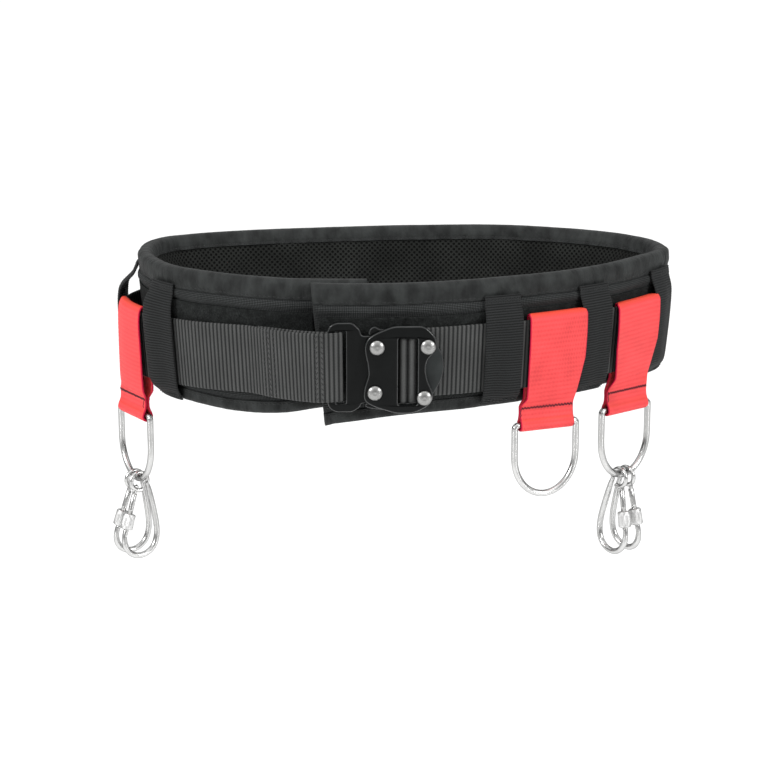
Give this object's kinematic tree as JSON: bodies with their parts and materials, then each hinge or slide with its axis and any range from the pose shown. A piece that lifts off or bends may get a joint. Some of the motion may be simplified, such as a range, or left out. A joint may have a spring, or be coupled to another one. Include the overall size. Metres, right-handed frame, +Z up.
{
  "type": "work belt",
  "caption": "Padded waist belt with a grey webbing strap, a two-part plate buckle, keeper loops, and red loops carrying D-rings with screw-lock snap hooks",
  "frame": {"origin": "middle of the waist, at mid height of the pad", "axes": "+Z up, the buckle faces -Y, +X to the right of the picture"},
  "size_m": [0.3739, 0.2393, 0.2043],
  "materials": {
    "oxford_black": "woven Oxford nylon, padded, matte",
    "tape_black": "folded edge tape, matte",
    "felt_black": "fuzzy loop pile",
    "webbing_grey": "ribbed polyester webbing",
    "webbing_black": "fine ribbed webbing",
    "webbing_red": "fine ribbed webbing, coral red",
    "metal_black": "satin black anodised plate",
    "steel": "zinc plated steel, satin"
  },
  "bodies": {
    "belt": {"pad": "oxford_black", "top_binding": "tape_black", "bottom_binding": "tape_black", "fuzzy_band": "felt_black", "waist_strap": "webbing_grey", "keeper_loop_0": "webbing_black", "keeper_loop_1": "webbing_black", "keeper_loop_2": "webbing_black", "keeper_loop_3": "webbing_black", "keeper_loop_4": "webbing_black", "red_loop_a": "webbing_red", "red_loop_b": "webbing_red", "red_loop_c": "webbing_red", "buckle_back": "metal_black", "buckle_tongue": "metal_black", "buckle_lever_top": "metal_black", "buckle_lever_low": "metal_black", "buckle_front": "metal_black", "rivet_1": "steel", "rivet_2": "steel", "rivet_3": "steel", "rivet_4": "steel"},
    "ring_a": {"ring_a": "steel"},
    "ring_b": {"ring_b": "steel"},
    "ring_c": {"ring_c": "steel"},
    "hook_a1": {"hook_a1_body": "steel"},
    "gate_a1": {"hook_a1_gate": "steel"},
    "nut_a1": {"hook_a1_nut": "steel"},
    "hook_a2": {"hook_a2_body": "steel"},
    "gate_a2": {"hook_a2_gate": "steel"},
    "nut_a2": {"hook_a2_nut": "steel"},
    "hook_c1": {"hook_c1_body": "steel"},
    "gate_c1": {"hook_c1_gate": "steel"},
    "nut_c1": {"hook_c1_nut": "steel"},
    "hook_c2": {"hook_c2_body": "steel"},
    "gate_c2": {"hook_c2_gate": "steel"},
    "nut_c2": {"hook_c2_nut": "steel"}
  },
  "joints": [
    {"name": "ring_a_swing", "type": "hinge", "parent": "belt", "child": "ring_a", "pos_m": [-0.1691, -0.01812, -0.06], "axis": [-0.5396, 0.8419, 0], "range_deg": [-30, 90]},
    {"name": "ring_b_swing", "type": "hinge", "parent": "belt", "child": "ring_b", "pos_m": [0.09899, -0.07879, -0.0525], "axis": [-0.9226, -0.3858, 0], "range_deg": [-30, 90]},
    {"name": "ring_c_swing", "type": "hinge", "parent": "belt", "child": "ring_c", "pos_m": [0.15403, -0.03527, -0.0525], "axis": [-0.7614, -0.6483, 0], "range_deg": [-30, 90]},
    {"name": "hook_a1_swing", "type": "hinge", "parent": "ring_a", "child": "hook_a1", "pos_m": [-0.17093, -0.01525, -0.10618], "axis": [-0.5383, 0.8399, 0.0698], "range_deg": [-60, 60]},
    {"name": "gate_a1_open", "type": "hinge", "parent": "hook_a1", "child": "gate_a1", "pos_m": [-0.17537, -0.01718, -0.11721], "axis": [0.5383, -0.8399, -0.0698], "range_deg": [0, 22], "stiffness_Nm_per_rad": 0.06, "springref_deg": -4.01},
    {"name": "nut_a1_slide", "type": "slide", "parent": "gate_a1", "child": "nut_a1", "axis": [-0.2964, -0.1112, -0.9486], "range_m": [-0.006, 0.004]},
    {"name": "hook_a2_swing", "type": "hinge", "parent": "ring_a", "child": "hook_a2", "pos_m": [-0.16726, -0.02098, -0.10618], "axis": [-0.5383, 0.8399, -0.0698], "range_deg": [-60, 60]},
    {"name": "gate_a2_open", "type": "hinge", "parent": "hook_a2", "child": "gate_a2", "pos_m": [-0.17087, -0.02421, -0.11721], "axis": [0.5383, -0.8399, 0.0698], "range_deg": [0, 22], "stiffness_Nm_per_rad": 0.06, "springref_deg": -4.01},
    {"name": "nut_a2_slide", "type": "slide", "parent": "gate_a2", "child": "nut_a2", "axis": [-0.2248, -0.2228, -0.9486], "range_m": [-0.006, 0.004]},
    {"name": "hook_c1_swing", "type": "hinge", "parent": "ring_c", "child": "hook_c1", "pos_m": [0.15144, -0.03748, -0.09868], "axis": [-0.7595, -0.6467, 0.0698], "range_deg": [-60, 60]},
    {"name": "gate_c1_open", "type": "hinge", "parent": "hook_c1", "child": "gate_c1", "pos_m": [0.15317, -0.04074, -0.11015], "axis": [0.7595, 0.6467, -0.0698], "range_deg": [0, 22], "stiffness_Nm_per_rad": 0.06, "springref_deg": -4.01},
    {"name": "nut_c1_slide", "type": "slide", "parent": "gate_c1", "child": "nut_c1", "axis": [0.0832, -0.2029, -0.9757], "range_m": [-0.006, 0.004]},
    {"name": "hook_c2_swing", "type": "hinge", "parent": "ring_c", "child": "hook_c2", "pos_m": [0.15662, -0.03307, -0.09868], "axis": [-0.7595, -0.6467, -0.0698], "range_deg": [-60, 60]},
    {"name": "gate_c2_open", "type": "hinge", "parent": "hook_c2", "child": "gate_c2", "pos_m": [0.15956, -0.03529, -0.11015], "axis": [0.7595, 0.6467, 0.0698], "range_deg": [0, 22], "stiffness_Nm_per_rad": 0.06, "springref_deg": -4.01},
    {"name": "nut_c2_slide", "type": "slide", "parent": "gate_c2", "child": "nut_c2", "axis": [0.1871, -0.1145, -0.9757], "range_m": [-0.006, 0.004]}
  ]
}
